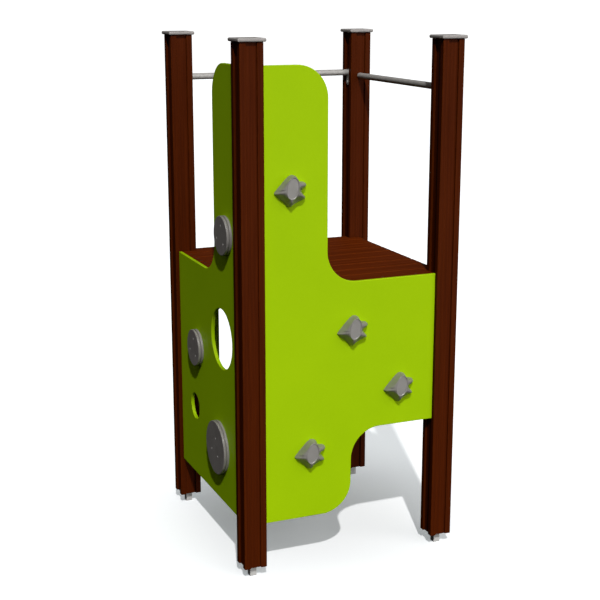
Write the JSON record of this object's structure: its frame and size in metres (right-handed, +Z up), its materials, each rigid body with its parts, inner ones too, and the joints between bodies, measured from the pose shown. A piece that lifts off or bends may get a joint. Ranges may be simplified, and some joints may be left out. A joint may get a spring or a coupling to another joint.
{
  "type": "playground climbing wall tower",
  "caption": "Small playground climbing tower: fluted posts carry a boarded deck, climbing panels with star grips and round holds, a doorway panel and guard bars.",
  "frame": {"origin": "middle of the bounding box's base, on the ground under the four feet", "axes": "+Z up; -Y faces the side with the star panel, -X the side with the disc panel"},
  "size_m": [0.9546, 0.9764, 2.137],
  "materials": {
    "post_brown": "dark brown stained, satin",
    "deck_brown": "dark brown stained boards, matte",
    "panel_green": "lime green through-coloured board, fine satin texture",
    "hold_grey": "mid grey moulded resin, satin",
    "cap_grey": "light grey coated",
    "zinc_steel": "galvanised"
  },
  "bodies": {
    "root": {"post_front_left": "post_brown", "post_front_right": "post_brown", "post_back_left": "post_brown", "post_back_right": "post_brown", "cap_front_left": "cap_grey", "cap_front_right": "cap_grey", "cap_back_left": "cap_grey", "cap_back_right": "cap_grey", "cap_screws": "zinc_steel", "foot_front_left": "zinc_steel", "foot_front_right": "zinc_steel", "foot_back_left": "zinc_steel", "foot_back_right": "zinc_steel", "star_panel": "panel_green", "disc_panel": "panel_green", "doorway_panel": "panel_green", "grip_high": "hold_grey", "grip_middle": "hold_grey", "grip_side": "hold_grey", "grip_low": "hold_grey", "grip_bolts": "zinc_steel", "grip_washers": "zinc_steel", "hold_high_base": "hold_grey", "hold_high_face": "hold_grey", "hold_middle_base": "hold_grey", "hold_middle_face": "hold_grey", "hold_low_base": "hold_grey", "hold_low_face": "hold_grey", "hold_screws": "zinc_steel", "deck_board_1": "deck_brown", "deck_board_2": "deck_brown", "deck_board_3": "deck_brown", "deck_board_4": "deck_brown", "deck_board_5": "deck_brown", "deck_board_6": "deck_brown", "deck_board_7": "deck_brown", "deck_board_8": "deck_brown", "deck_board_9": "deck_brown", "deck_screws": "zinc_steel", "beam_front": "post_brown", "beam_left": "post_brown", "beam_back": "post_brown", "beam_right": "post_brown", "joist": "post_brown", "beam_brackets": "zinc_steel", "joist_brackets": "zinc_steel", "frame_screws": "zinc_steel", "star_panel_ties": "zinc_steel", "disc_panel_ties": "zinc_steel", "doorway_ties": "zinc_steel", "tie_screws": "zinc_steel", "guard_bar_back": "zinc_steel", "guard_bar_right": "zinc_steel", "bar_screws": "zinc_steel"}
  },
  "joints": []
}
